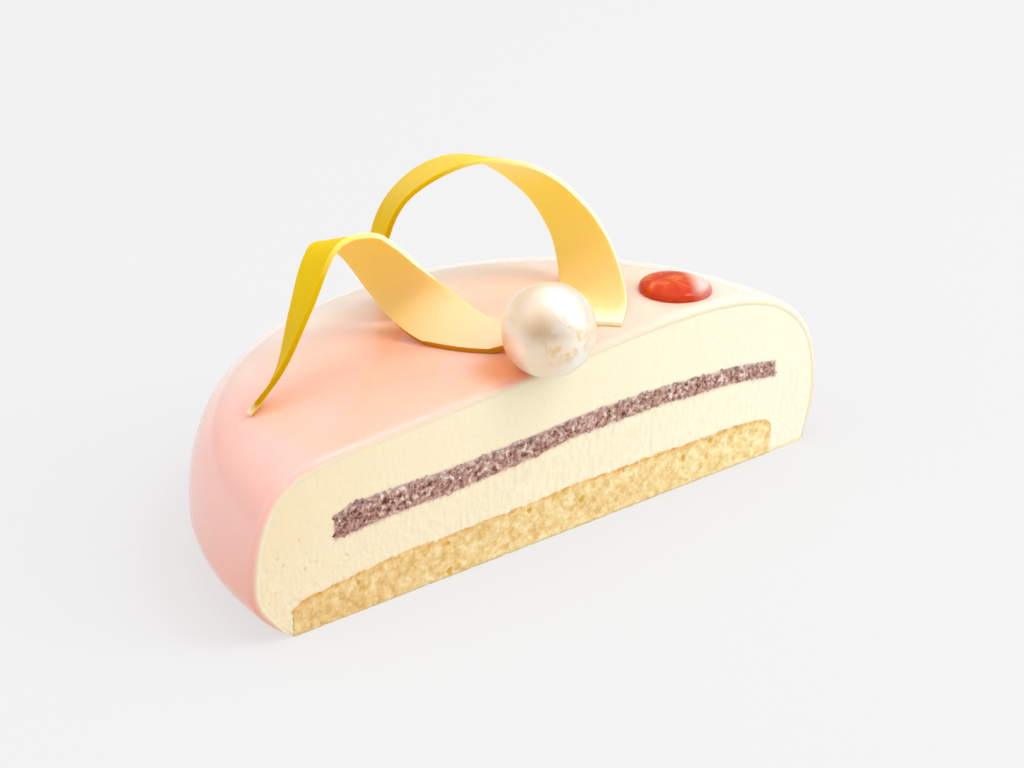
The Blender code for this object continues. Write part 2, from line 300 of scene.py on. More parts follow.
def grow(obj, tree, values):
    """Runs a tree on an object, its inputs set by their identifiers, and keeps the result as its mesh."""
    modifier = obj.modifiers.new(tree.name, "NODES")
    modifier.node_group = tree
    for item in tree.interface.items_tree:
        if item.item_type == "SOCKET" and item.in_out == "INPUT" and item.name in values:
            modifier[item.identifier] = values[item.name]
    bpy.context.view_layer.update()
    depsgraph = bpy.context.evaluated_depsgraph_get()
    mesh = bpy.data.meshes.new_from_object(obj.evaluated_get(depsgraph), depsgraph=depsgraph)
    mesh.name = obj.name
    obj.modifiers.clear()
    obj.data = mesh


def half_turn_skin():
    """A skin swept half round the cake, its outline changing from the right side's to the left's.

    Each outline point makes one ring: over the outer face, across the cut's rim on the left, back
    along the inner face and across the rim on the right. The rim is rounded.
    """
    tree, values = new_tree("half turn skin", {
        "outline points": "Int", "turn steps": "Int", "rim steps": "Int", "thickness": "Float",
        "rim tuck": "Float", "crowding": "Float", "cut plane": "Float", "finish": "Material",
    })
    work_out(tree, values, (
        ("place", "GeometryNodeInputPosition"),
        (("sheet x", "sheet y"), "ShaderNodeSeparateXYZ", "place"),
        ("left end", "ADD", "turn steps", "rim steps"),
        ("inner end", "ADD", "left end", "turn steps"),
        ("all steps", "MULTIPLY", "left end", 2.0),
        ("rows", "ADD", "all steps", 1.0),
        ("sheet", "GeometryNodeMeshGrid", 1.0, 1.0, "outline points", "rows"),
        ("last point", "SUBTRACT", "outline points", 1.0),
        ("up", "ADD", "sheet x", 0.5),
        ("scaled up", "MULTIPLY", "up", "last point"),
        ("point", "ROUND", "scaled up"),
        ("around", "ADD", "sheet y", 0.5),
        ("row", "MULTIPLY", "around", "all steps"),
        ("outer turn", "ShaderNodeMapRange", "row", 0.0, "turn steps"),
        ("left rim", "ShaderNodeMapRange", "row", "turn steps", "left end"),
        ("inner turn", "ShaderNodeMapRange", "row", "left end", "inner end"),
        ("right rim", "ShaderNodeMapRange", "row", "inner end", "all steps"),
        ("turned", "SUBTRACT", "outer turn", "inner turn"),
        ("over rim", "SUBTRACT", "left rim", "right rim"),
        ("full circle", "MULTIPLY", "turned", 2 * math.pi),
        ("swing", "SINE", "full circle"),
        ("pull", "MULTIPLY", "swing", "crowding"),
        ("pull back", "DIVIDE", "pull", 2 * math.pi),
        ("eased", "SUBTRACT", "turned", "pull back"),
        ("angle", "MULTIPLY", "eased", math.pi),
        ("cosine", "COSINE", "angle"),
        ("sine", "SINE", "angle"),
        ("left share", "MULTIPLY_ADD", "cosine", -0.5, 0.5),
    ))
    mixed = (("outer", "FLOAT_VECTOR", 4), ("inner", "FLOAT_VECTOR", 4), ("rim", "FLOAT", 2))
    for name, kind, socket in mixed:
        ends = {0: values["left share"]}
        for place, side in enumerate(("right", "left")):
            stored = add_node(tree, "GeometryNodeInputNamedAttribute", {"Name": f"{side}_{name}"},
                              data_type=kind)
            ends[socket + place] = add_node(tree, "GeometryNodeSampleIndex", {
                "Geometry": values["Geometry"], "Value": stored, "Index": values["point"],
            }, data_type=kind)
        values[name] = add_node(tree, "ShaderNodeMix", ends, data_type=kind.replace("FLOAT_", ""))
    work_out(tree, values, (
        ("outer radius", "ShaderNodeSeparateXYZ", "outer"),
        ("behind cut", "MULTIPLY", "outer radius", "sine"),
        ("rims behind", "DIVIDE", "behind cut", "rim"),
        ("near", "SUBTRACT", 1.0, "rims behind"),
        ("near cut", "MAXIMUM", "near", 0.0),
        ("squared", "MULTIPLY", "near cut", "near cut"),
        ("rest", "SUBTRACT", 1.0, "squared"),
        ("round", "SQRT", "rest"),
        ("fall", "SUBTRACT", 1.0, "round"),
        ("inset", "MULTIPLY", "fall", "rim"),
        ("outer depth", "DIVIDE", "inset", "thickness"),
        ("left over", "SUBTRACT", 1.0, "outer depth"),
        ("depth share", "MULTIPLY_ADD", "left over", "over rim", "outer depth"),
        ("depth", "MULTIPLY", "depth share", "thickness"),
        ("section", "ShaderNodeMix VECTOR", {0: "depth share", 4: "outer", 5: "inner"}),
        (("radius", "aside", "height"), "ShaderNodeSeparateXYZ", "section"),
        ("reach", "MULTIPLY", "radius", "cosine"),
        ("back", "MULTIPLY_ADD", "radius", "sine", "cut plane"),
        ("tuck at cut", "MULTIPLY", "rim tuck", "near cut"),
        ("tucked back", "MULTIPLY_ADD", "tuck at cut", "over rim", "back"),
        ("swept", "ShaderNodeCombineXYZ", "reach", "tucked back", "height"),
    ))
    return end_tree(tree, values, "sheet", stored=["depth"], merge=0.005 * MM, Position="swept")


def new_finish(name, stored=()):
    """A piece's material and its tree, with its own coordinates and its stored values by name."""
    material, tree = new_material(name)
    values = {"place": add_node(tree, "ShaderNodeTexCoord").outputs["Object"]}
    for label in stored:
        values[label] = add_node(tree, "ShaderNodeAttribute", attribute_name=label).outputs["Fac"]
    return material, tree, values


def coats(tree, values, colour, rows):
    """Lays coats over a colour: each a paint and the value that gives its share.

    Where the value's start and end and the share at its end follow, the coat comes in between
    them, smoothly unless the row says LINEAR.
    """
    for paint, source, *spread in rows:
        amount = values[source]
        if spread:
            start, end, share, way = (*spread, "SMOOTHSTEP")[:4]
            amount = add_node(tree, "ShaderNodeMapRange", {
                0: amount, 1: start, 2: end, 4: values.get(share, share),
            }, interpolation_type=way)
        colour = add_node(tree, "ShaderNodeMix", {0: amount, 6: colour, 7: paint}, data_type="RGBA")
    return colour


def spots(tree, values, colour, rows):
    """Lays round coats over a colour: each a middle, a radius, one where it is full, a share and a paint."""
    for middle, radius, full, share, paint in rows:
        values["away"] = add_node(tree, "ShaderNodeVectorMath", {0: values["place"], 1: middle},
                                  operation="DISTANCE")
        colour = coats(tree, values, colour, [(paint, "away", radius, full, share)])
    return colour


def end_finish(tree, colour, roughness, ior, scattering, relief=None, others=None):
    """Ends a material: scattering is its share, reach and scale, relief its height, strength and depth."""
    share, reach, scale = scattering
    inputs = {
        "Base Color": colour, "Roughness": roughness, "IOR": ior, "Subsurface Weight": share,
        "Subsurface Radius": reach, "Subsurface Scale": scale, **(others or {}),
    }
    if relief:
        height, strength, depth = relief
        inputs["Normal"] = add_node(tree, "ShaderNodeBump", {
            "Height": height, "Strength": strength, "Distance": depth,
        })
    shader = add_node(tree, "ShaderNodeBsdfPrincipled", inputs)
    add_node(tree, "ShaderNodeOutputMaterial", {"Surface": shader})


def mirror_glaze():
    """Pink white-chocolate glaze: an opaque, wet skin that mirrors its surroundings softly.

    It is pink all over, deeper low down on the wall, and cream inside, where the cut shows it.
    Painted light makes it lighter and creamier over the right end, and a painted reflection makes
    it paler towards the back. Light that gets in comes out redder, so shadows glow orange. Painted
    warm shade and glow darken it a little round the pearl, the front curl and the gel drop.
    """
    material, tree, values = new_finish("pink mirror glaze", ["depth"])
    work_out(tree, values, (
        (("x", "y", "z"), "ShaderNodeSeparateXYZ", "place"),
        ("drift", "ShaderNodeTexNoise", {"Vector": "place", "Scale": 1 / (60 * MM), "Detail": 2.0}),
        ("along", "ShaderNodeMapRange", "x", -CAKE_RADIUS, CAKE_RADIUS),
        ("uneven", "MULTIPLY_ADD", "drift", 0.16, "along"),
        ("behind", "ShaderNodeMapRange", "y", CUT_Y + 34 * MM, CUT_Y + 68 * MM, 0.0, 0.9),
        ("ripple", "ShaderNodeTexNoise", {"Vector": "place", "Scale": 1 / (18 * MM), "Detail": 1.0}),
        ("wetness", "ShaderNodeMapRange", "depth", 0.0, GLAZE_THICKNESS, 0.08, 0.4),
        ("clearness", "ShaderNodeMapRange", "z", GLAZE_LIP, GLAZE_LIP + 4 * MM, 0.0, 0.6),
    ))
    # Lighter and creamier towards the right end: painted light. The drift gives it its own uneven tone.
    pinks = add_node(tree, "ShaderNodeValToRGB", {"Fac": values["uneven"]}, stops=(
        (0.1, "#fbc3b7"), (0.3, "#fdc0b0"), (0.55, "#fdc3af"), (0.75, "#fdd1bd"), (1.0, "#ffeeda"),
    ))
    skin = coats(tree, values, pinks, (
        ("#f4b09b", "z", 32 * MM, 4 * MM, 1.0),
        # Paler towards the back, high up: a painted reflection of the bright room.
        ("#fff0e4", "z", 30 * MM, 44 * MM, "behind"),
    ))
    # Painted warm shade and glow where the pearl, the front curl and the gel drop meet the glaze.
    stained = spots(tree, values, skin, [
        ((x, CUT_Y + y, z), radius, 0.3 * radius, share, stain)
        for (x, y, z), radius, share, stain in GLAZE_PAINTED_SHADE
    ])
    colour = coats(tree, values, stained, [("#fbe9c8", "depth", 0.3 * MM, GLAZE_THICKNESS, 1.0)])
    end_finish(tree, colour, values["wetness"], 1.46, (values["clearness"], (1.0, 0.35, 0.18), 2.0 * MM),
               (values["ripple"], 0.25, 0.15 * MM))
    return material


def turn_outwards(obj, merge=0.0):
    """Closes an object's seams, turns its faces outwards and shades it smooth."""
    bm = bmesh.new()
    bm.from_mesh(obj.data)
    if merge:
        bmesh.ops.remove_doubles(bm, verts=bm.verts, dist=merge)
    bmesh.ops.recalc_face_normals(bm, faces=bm.faces)
    bm.to_mesh(obj.data)
    bm.free()
    obj.data.shade_smooth()


glaze = new_object("glaze_skin", upright(evenly(side_outline("right", 0.0, GLAZE_LIP), GLAZE_PROFILE_POINTS)))
for side in ("right", "left"):
    for face, depth in (("outer", 0.0), ("inner", GLAZE_CORE)):
        line = evenly(side_outline(side, depth, GLAZE_LIP), GLAZE_PROFILE_POINTS)
        store(glaze.data, **{f"{side}_{face}": upright(line)})
    wall = smooth_share(line[:, 0], 0.8 * CAKE_RADIUS, 0.96 * CAKE_RADIUS)
    store(glaze.data, **{f"{side}_rim": RIM_ON_TOP + (RIM_ON_WALL - RIM_ON_TOP) * wall})
grow(glaze, half_turn_skin(), {
    "outline points": GLAZE_PROFILE_POINTS, "turn steps": 160, "rim steps": 8, "thickness": GLAZE_CORE,
    "rim tuck": RIM_TUCK, "crowding": 0.95, "cut plane": CUT_Y, "finish": mirror_glaze(),
})
turn_outwards(glaze)
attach(glaze, "root")
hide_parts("glaze")

# Where the layers lie in the mousse: a biscuit disc at the bottom and a thin disc of frozen
# berries over it, both cut through with the rest. Their faces stand flush with the cut.
BISCUIT_CENTRE = -2.6 * MM
BISCUIT_RADIUS = 76.0 * MM
BISCUIT_MIDDLE = 12.0 * MM
BISCUIT_DROOP = 2.6 * MM
BISCUIT_LEAN = 0.8 * MM
BISCUIT_WORN = 1.4 * MM                         # off its top corner
BERRY_CENTRE = 4.1 * MM
BERRY_RADIUS = 70.0 * MM
BERRY_BOTTOM = 22.2 * MM
BERRY_BOW = 3.1 * MM
BERRY_SWING = 1.3 * MM                          # lower left of the middle, and higher right of it
BERRY_THICKNESS = (7.6 * MM, 4.5 * MM)          # at the left and the right
BERRY_WORN = (1.5 * MM, 0.2 * MM)               # off its top corners, left and right
LAYER_WAVE = 0.35 * MM
LONG_WAVE = 9.0 * MM
SHORT_WAVE = (4.3 * MM, 11.0 * MM)


def wave(x, y, size):
    """The layers' gentle unevenness."""
    return size * (0.6 * np.sin(x / LONG_WAVE + 0.6) + 0.4 * np.sin(x / SHORT_WAVE[0] + y / SHORT_WAVE[1]))


def biscuit_top(x, y):
    share = np.hypot(x - BISCUIT_CENTRE, y) / BISCUIT_RADIUS
    lean = BISCUIT_LEAN * x / BISCUIT_RADIUS - BISCUIT_WORN * smooth_share(share, 0.97, 1.0)
    return BISCUIT_MIDDLE - BISCUIT_DROOP * share ** 4 + lean + wave(x, y, LAYER_WAVE)


def berry_bottom(x, y):
    share = np.hypot(x - BERRY_CENTRE, y) / BERRY_RADIUS
    swing = BERRY_SWING * np.sin(math.pi * (x - BERRY_CENTRE) / BERRY_RADIUS)
    return BERRY_BOTTOM + BERRY_BOW * (1 - share ** 2) + swing + wave(x, y, LAYER_WAVE)


def berry_top(x, y):
    to_left = 0.5 - (x - BERRY_CENTRE) / (2 * BERRY_RADIUS)
    left, right = BERRY_THICKNESS
    share = np.hypot(x - BERRY_CENTRE, y) / BERRY_RADIUS
    worn = (BERRY_WORN[0] * to_left + BERRY_WORN[1] * (1 - to_left)) * smooth_share(share, 0.93, 1.0)
    return berry_bottom(x, y) + right + (left - right) * to_left ** 2 - worn - wave(x, y, LAYER_WAVE / 2)


# Mousse: whipped cream and egg, set in the mould, frozen and cut with a warm knife. The knife
# leaves upright drag marks under the berry layer, and the cut shows small air bubbles.
MOUSSE_COLUMNS = 250
MOUSSE_ROWS = 118
MOUSSE_TURN_STEPS = 24
MOUSSE_INSET = 0.55                             # share of the glaze's thickness
MOUSSE_RECESS = 0.1 * MM
EDGE_RECESS = 0.25 * MM                         # more at the edge, where the glaze covers it
EDGE_WIDTH = 1.0 * MM
LAYER_RECESS = 0.9 * MM
LAYER_LAP = 0.6 * MM                            # how far it comes in under a layer's broken edge
STAIN_REACH = 1.3 * MM                          # how far the berries' colour is dragged down
MOUSSE_SIDES = {
    side: evenly(side_outline(side, MOUSSE_INSET * GLAZE_THICKNESS), MOUSSE_COLUMNS + 1)
    for side in ("right", "left")
}


def cut_face_relief():
    """Relief of a cut face: air bubbles, grain and the knife's upright marks, scaled by stored values.

    A face's vertices store how much of the relief they take (face), of the bubbles (holes) and of
    the knife's marks (drag). The tree stores where the bubbles are, for the material.
    """
    tree, values = new_tree("cut face relief", {
        "bubble spacing": "Float", "bubble share": "Float", "bubble depth": "Float", "bubble slope": "Float",
        "grain spacing": "Float", "grain height": "Float", "drag spacing": "Float", "drag height": "Float",
        "seed": "Int", "finish": "Material",
    }, ["face", "holes", "drag"])
    work_out(tree, values, (
        ("place", "GeometryNodeInputPosition"),
        ("apart", "ShaderNodeVectorMath SCALE", {0: (0.37, 0.0, 0.91), "Scale": "seed"}),
        ("moved", "ShaderNodeVectorMath ADD", "place", "apart"),
        (("x", "y", "height"), "ShaderNodeSeparateXYZ", "moved"),
        ("bubble scale", "DIVIDE", 1.0, "bubble spacing"),
        ("grain scale", "DIVIDE", 1.0, "grain spacing"),
        ("drag scale", "DIVIDE", 1.0, "drag spacing"),
        ("flattened", "MULTIPLY", "height", 0.3),
        (("bend share", "bend"), "ShaderNodeTexNoise", {"Vector": "moved", "Scale": "bubble scale"}),
        ("centred", "ShaderNodeVectorMath SUBTRACT", "bend", (0.5, 0.5, 0.5)),
        ("pulled", "ShaderNodeVectorMath SCALE", {0: "centred", "Scale": "bubble spacing"}),
        ("bent", "ShaderNodeVectorMath ADD", "moved", "pulled"),
        (("distance", "cell"), "ShaderNodeTexVoronoi", {"Vector": "bent", "Scale": "bubble scale"}),
        (("pick", "size"), "ShaderNodeSeparateXYZ", "cell"),
        ("grain", "ShaderNodeTexNoise", {"Vector": "moved", "Scale": "grain scale", "Detail": 3.0}),
        ("upright marks", "ShaderNodeCombineXYZ", "x", 0.0, "flattened"),
        ("marks", "ShaderNodeTexNoise", {"Vector": "upright marks", "Scale": "drag scale", "Detail": 3.0}),
        ("chance", "MULTIPLY", "bubble share", "holes"),
        ("chosen", "LESS_THAN", "pick", "chance"),
        ("radius", "MULTIPLY_ADD", "size", 0.35, 0.14),
        ("inside", "SUBTRACT", "radius", "distance"),
        ("hollow", "ShaderNodeMapRange SMOOTHSTEP", "inside", 0.0, "bubble slope"),
        ("bubble", "MULTIPLY", "hollow", "chosen"),
        ("grain swing", "MULTIPLY_ADD", "grain", 2.0, -1.0),
        ("marks swing", "MULTIPLY_ADD", "marks", 2.0, -1.0),
        ("marks height", "MULTIPLY", "drag height", "drag"),
        ("raised", "MULTIPLY", "grain swing", "grain height"),
        ("dragged", "MULTIPLY_ADD", "marks swing", "marks height", "raised"),
        ("sunk", "MULTIPLY", "bubble", "bubble depth"),
        ("relief", "SUBTRACT", "dragged", "sunk"),
        ("kept", "MULTIPLY", "relief", "face"),
        ("forward", "MULTIPLY", "kept", -1.0),
        ("offset", "ShaderNodeCombineXYZ", 0.0, "forward"),
    ))
    return end_tree(tree, values, "Geometry", stored=["bubble", "marks"], Offset="offset")


def mousse_finish():
    """Frozen cream mousse: soft, matt and full of air, so light goes some way into it.

    It is lighter and whiter towards the right end, as painted light, with painted shade in its bubbles and in
    the dips of the knife's marks, and it is stained by the berries.
    Round the foot of the wall, under the glaze's lip, the glaze has coloured it pink.
    """
    material, tree, values = new_finish("cream mousse", ["marks", "drag", "bubble", "stain", "edge"])
    work_out(tree, values, (
        (("x", "y", "z"), "ShaderNodeSeparateXYZ", "place"),
        ("along", "ShaderNodeMapRange", "x", -CAKE_RADIUS, CAKE_RADIUS),
        ("dips", "ShaderNodeMapRange", "marks", 0.56, 0.36),
        ("in marks", "MULTIPLY", "dips", "drag"),
        ("foam", "ShaderNodeTexNoise", {"Vector": "place", "Scale": 1 / (0.5 * MM), "Detail": 3.0}),
        ("clearness", "ShaderNodeMapRange", "edge", 0.0, 1.0, 0.35, 0.0),
    ))
    # Lighter and whiter towards the right end: painted light.
    creams = add_node(tree, "ShaderNodeValToRGB", {"Fac": values["along"]}, stops=(
        (0.0, "#f3dfb8"), (0.22, "#f9e8c5"), (0.5, "#fef0d0"), (0.9, "#fff9de"),
    ))
    colour = coats(tree, values, creams, (
        # Darker in the dips of the knife's marks and in the bubbles: painted shade in these hollows.
        ("#f5e6c6", "in marks"),
        ("#e6d6ac", "bubble"),
        ("#efdc9c", "z", 1.4 * MM, 0.4 * MM, 0.7, "LINEAR"),
        ("#c89a8c", "stain"),
        ("#f7b8a4", "y", CUT_Y + 1.5 * MM, CUT_Y + 4 * MM, 1.0, "LINEAR"),
    ))
    end_finish(tree, colour, 0.6, 1.4, (values["clearness"], (1.0, 0.8, 0.5), 1.0 * MM),
               (values["foam"], 0.35, 0.12 * MM))
    return material


def mousse_body():
    """The half cake's inside, closed: the cut face in two halves, the round wall and the base."""
    vertices, faces = [], []

    def patch(point, rows):
        """A patch of faces over point(column, row)."""
        first = len(vertices)
        for column in range(MOUSSE_COLUMNS + 1):
            vertices.extend(point(column, row) for row in range(rows + 1))
        for column in range(MOUSSE_COLUMNS):
            for row in range(rows):
                corner = first + column * (rows + 1) + row
                faces.append((corner, corner + 1, corner + rows + 2, corner + rows + 1))

    def swept(line_at, column, row):
        """A point on the ring at this column, turned by its row, between the right and left lines."""
        angle = math.pi * row / MOUSSE_TURN_STEPS
        left = (1 - math.cos(angle)) / 2
        radius, height = line_at("right", column) * (1 - left) + line_at("left", column) * left
        return (radius * math.cos(angle), CUT_Y + radius * math.sin(angle), height)

    def wall_line(side, column):
        return MOUSSE_SIDES[side][column]

    def base_line(side, column):
        return np.array([MOUSSE_SIDES[side][0, 0] * (1 - column / MOUSSE_COLUMNS), 0.0])

    def cut_point(side, sign, column, row):
        foot, edge = base_line(side, column), wall_line(side, column)
        radius, height = foot + (edge - foot) * (row / MOUSSE_ROWS)
        return (sign * radius, CUT_Y, height)

    for side, sign in (("right", 1), ("left", -1)):
        patch(lambda column, row, side=side, sign=sign: cut_point(side, sign, column, row), MOUSSE_ROWS)
    for line_at in (wall_line, base_line):
        patch(lambda column, row, line_at=line_at: swept(line_at, column, row), MOUSSE_TURN_STEPS)
    return vertices, faces


CUT_RELIEF = cut_face_relief()
mousse = new_object("mousse_body", *mousse_body())
turn_outwards(mousse, merge=0.004 * MM)
x, y, z = np.array([vertex.co for vertex in mousse.data.vertices]).T
on_cut = y < CUT_Y + 0.01 * MM
in_berries = np.minimum.reduce([
    BERRY_RADIUS - np.abs(x - BERRY_CENTRE), z - berry_bottom(x, 0), berry_top(x, 0) - z,
])
in_biscuit = np.minimum(BISCUIT_RADIUS - np.abs(x - BISCUIT_CENTRE), biscuit_top(x, 0) - z)
hidden = smooth_share(np.maximum(in_berries, in_biscuit), LAYER_LAP, LAYER_LAP + 0.5 * MM)
edge_points = kdtree.KDTree(2 * MOUSSE_COLUMNS + 2)
for side, sign in (("right", 1), ("left", -1)):
    for radius, height in MOUSSE_SIDES[side]:
        edge_points.insert((sign * radius, 0.0, height), 0)
edge_points.balance()
from_edge = np.array([edge_points.find((px, 0.0, pz))[2] for px, pz in zip(x, z)])
at_edge = smooth_share(from_edge, EDGE_WIDTH, 0.0)
for k in np.flatnonzero(on_cut):
    mousse.data.vertices[k].co.y += MOUSSE_RECESS + hidden[k] * LAYER_RECESS + at_edge[k] * EDGE_RECESS
beside = on_cut & (np.abs(x - BERRY_CENTRE) < BERRY_RADIUS + 0.5 * MM)
below = np.where(z < berry_top(x, 0), np.clip(berry_bottom(x, 0) - z, 0, None), 1.0)
above = np.where(z > berry_bottom(x, 0), np.clip(z - berry_top(x, 0), 0, None), 1.0)
drip = np.array([noise.noise((px / (0.7 * MM), 5.0, pz / (4 * MM))) for px, pz in zip(x, z)])
run = STAIN_REACH * (0.5 + np.clip(drip + 0.3, 0, 1))
dragged = 0.8 * np.clip(1 - below / run, 0, 1) ** 1.5
stain = np.where(beside, np.maximum(dragged, 0.3 * smooth_share(above, 0.8 * MM, 0)), 0)
under_berries = smooth_share(berry_bottom(x, 0) - z, -4 * MM, 2 * MM)
near_edge = smooth_share(from_edge, 2.2 * EDGE_WIDTH, EDGE_WIDTH)
firmer = 1 - 0.75 * smooth_share(x, -10 * MM, 72 * MM)
store(
    mousse.data,
    edge=np.where(on_cut, near_edge, 0),
    face=np.where(on_cut, (1 - hidden) * (1 - near_edge), 0),
    drag=np.where(on_cut, firmer * (0.12 + 0.88 * under_berries), 0),
    holes=smooth_share(-x, -10 * MM, 80 * MM) * smooth_share(z, 34 * MM, 10 * MM),
    stain=stain * (1 - 0.35 * smooth_share(x, -20 * MM, 60 * MM)),
)
grow(mousse, CUT_RELIEF, {
    "bubble spacing": 1.5 * MM, "bubble share": 0.5, "bubble depth": 0.25 * MM, "bubble slope": 0.35,
    "grain spacing": 0.9 * MM, "grain height": 0.2 * MM, "drag spacing": 1.2 * MM, "drag height": 0.25 * MM,
    "seed": 3, "finish": mousse_finish(),
})
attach(mousse, "root")
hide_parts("mousse")


# Biscuit: a thin almond sponge, baked in a sheet and cut out as a disc. It has a browned skin on
# top, and the cut shows fine crumb with some larger holes.
BISCUIT_COLUMNS = 640
BISCUIT_ROWS = 52
BISCUIT_ROUGH = 0.6 * MM
SKIN_DEPTH = 2.2 * MM
LAYER_SPAN = 0.9995                             # share of its radius, so that its ends aren't points
LAYER_BACK_STEPS = 6


def rough(x, z, size, seed):
    """A broken edge's lumps and dents, which go in no further than the mousse comes under it."""
    coarse = noise.noise((x / (3.4 * MM), seed, z / (3.4 * MM)))
    fine = noise.noise((x / (0.9 * MM), seed + 9.0, z / (0.9 * MM)))
    return max(size * (0.7 * coarse + 0.6 * fine), -0.9 * LAYER_LAP)


def layer_mesh(centre, radius, bottom, top, columns, rows, roughness):
    """A half disc as closed rings across the cut: up its cut face, over the top and back under.

    It also gives how much of the relief each vertex takes: all on the face, none at its edges.
    """
    vertices, faces, face_values = [], [], []
    for column in range(columns + 1):
        x = centre + LAYER_SPAN * radius * (2 * column / columns - 1)
        reach = math.sqrt(radius ** 2 - (x - centre) ** 2)
        low = max(float(bottom(x, 0.0)) - rough(x, 0.0, roughness, 3.0), 0.0)
        high = float(top(x, 0.0)) + rough(x, 0.0, roughness, 7.0)
        end = math.copysign(1.0, x - centre) * float(smooth_share(abs(x - centre), radius - 2 * MM, radius))
        for row in range(rows + 1):
            z = low + (high - low) * row / rows
            edge = min(row, rows - row, column, columns - column)
            vertices.append((x + end * max(1.5 * rough(centre, z, roughness, 5.0), 0.0), CUT_Y, z))
            face_values.append(min(edge / 3, 1.0))
        depths = [reach * step / LAYER_BACK_STEPS for step in range(1, LAYER_BACK_STEPS + 1)]
        vertices.extend((x, CUT_Y + y, float(top(x, y))) for y in depths)
        vertices.extend((x, CUT_Y + y, max(float(bottom(x, y)), 0.0)) for y in reversed(depths))
        face_values.extend([0.0] * 2 * LAYER_BACK_STEPS)
    ring = rows + 1 + 2 * LAYER_BACK_STEPS
    for column in range(columns):
        for k in range(ring):
            a, b = column * ring + k, column * ring + (k + 1) % ring
            faces.append((a, b, b + ring, a + ring))
    faces.append(tuple(range(ring)))
    faces.append(tuple(columns * ring + k for k in reversed(range(ring))))
    return vertices, faces, face_values


def biscuit_finish():
    """Baked almond sponge: golden, dry, matt crumb, browner at the skin; lighter to the right as painted
    light, with painted shade in its holes and along its foot.
    """
    material, tree, values = new_finish("almond sponge", ["skin", "bubble"])
    work_out(tree, values, (
        (("x", "y", "z"), "ShaderNodeSeparateXYZ", "place"),
        ("sponge", "ShaderNodeTexNoise", {
            "Vector": "place", "Scale": 1 / (1.9 * MM), "Detail": 4.0, "Roughness": 0.6,
        }),
        ("cells", "ShaderNodeTexVoronoi", {"Vector": "place", "Scale": 1 / (1.5 * MM)}),
        ("crumb", "MULTIPLY_ADD", "cells", -0.12, "sponge"),
        ("patches", "ShaderNodeTexNoise", {
            "Vector": "place", "Scale": 1 / (2.4 * MM), "Detail": 4.0, "Roughness": 0.65,
        }),
        ("browning", "MULTIPLY_ADD", "skin", 0.42, "patches"),
        ("browned", "ShaderNodeMapRange", "browning", 0.6, 1.1),
    ))
    golds = add_node(tree, "ShaderNodeValToRGB", {"Fac": values["crumb"]}, stops=(
        (0.28, "#e6c27e"), (0.4, "#f3d89c"), (0.5, "#fae4ad"), (0.62, "#fff6d2"),
    ))
    browns = add_node(tree, "ShaderNodeValToRGB", {"Fac": values["browned"]}, stops=(
        (0.0, "#f4c070"), (0.6, "#e8aa50"), (1.0, "#c88a38"),
    ))
    # Painted light: lighter towards the right end, darker towards the left.
    painted_light_across = coats(tree, values, "#fffdf6", [("#efdfcc", "x", 60 * MM, -82 * MM, 1.0, "LINEAR")])
    shaded = add_node(tree, "ShaderNodeMix", {0: 1.0, 6: golds, 7: painted_light_across}, data_type="RGBA",
                      blend_type="MULTIPLY")
    colour = coats(tree, values, shaded, (
        (browns, "browned"),
        # Painted shade in the holes.
        ("#dcac44", "bubble"),
        # Painted shadow along the foot, where it meets the table.
        ("#c8b682", "z", 0.7 * MM, 0.1 * MM, 0.6, "LINEAR"),
    ))
    end_finish(tree, colour, 0.85, 1.4, (0.2, (1.0, 0.7, 0.35), 0.8 * MM), (values["crumb"], 0.4, 0.18 * MM))
    return material


vertices, faces, face_values = layer_mesh(
    BISCUIT_CENTRE, BISCUIT_RADIUS, lambda x, y: 0.0, biscuit_top, BISCUIT_COLUMNS, BISCUIT_ROWS,
    BISCUIT_ROUGH)
biscuit = new_object("biscuit_base", vertices, faces)
x, y, z = np.array(vertices).T
under_top = z - biscuit_top(x, y - CUT_Y)
near_top = smooth_share(under_top, -4.5 * MM, -2.5 * MM)
off_ends = smooth_share(np.abs(x - BISCUIT_CENTRE), BISCUIT_RADIUS - 3 * MM, BISCUIT_RADIUS - 6 * MM)
store(biscuit.data, face=face_values, drag=np.zeros(len(x)), holes=(0.12 + 0.88 * near_top) * off_ends,
      skin=smooth_share(under_top, -SKIN_DEPTH, 0.0))
turn_outwards(biscuit)
grow(biscuit, CUT_RELIEF, {
    "bubble spacing": 2.6 * MM, "bubble share": 0.8, "bubble depth": 0.3 * MM, "bubble slope": 0.22,
    "grain spacing": 1.4 * MM, "grain height": 0.25 * MM, "drag spacing": 1.0 * MM, "drag height": 0.0,
    "seed": 5, "finish": biscuit_finish(),
})
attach(biscuit, "root")
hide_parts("biscuit")

# Berry layer: dark berries frozen in their puree, with seeds and ice. The knife breaks it into
# small rough grains, dark brown to lilac, which stand out of the cut face.
BERRY_COLUMNS = 560
BERRY_ROWS = 28
BERRY_ROUGH = 1.3 * MM


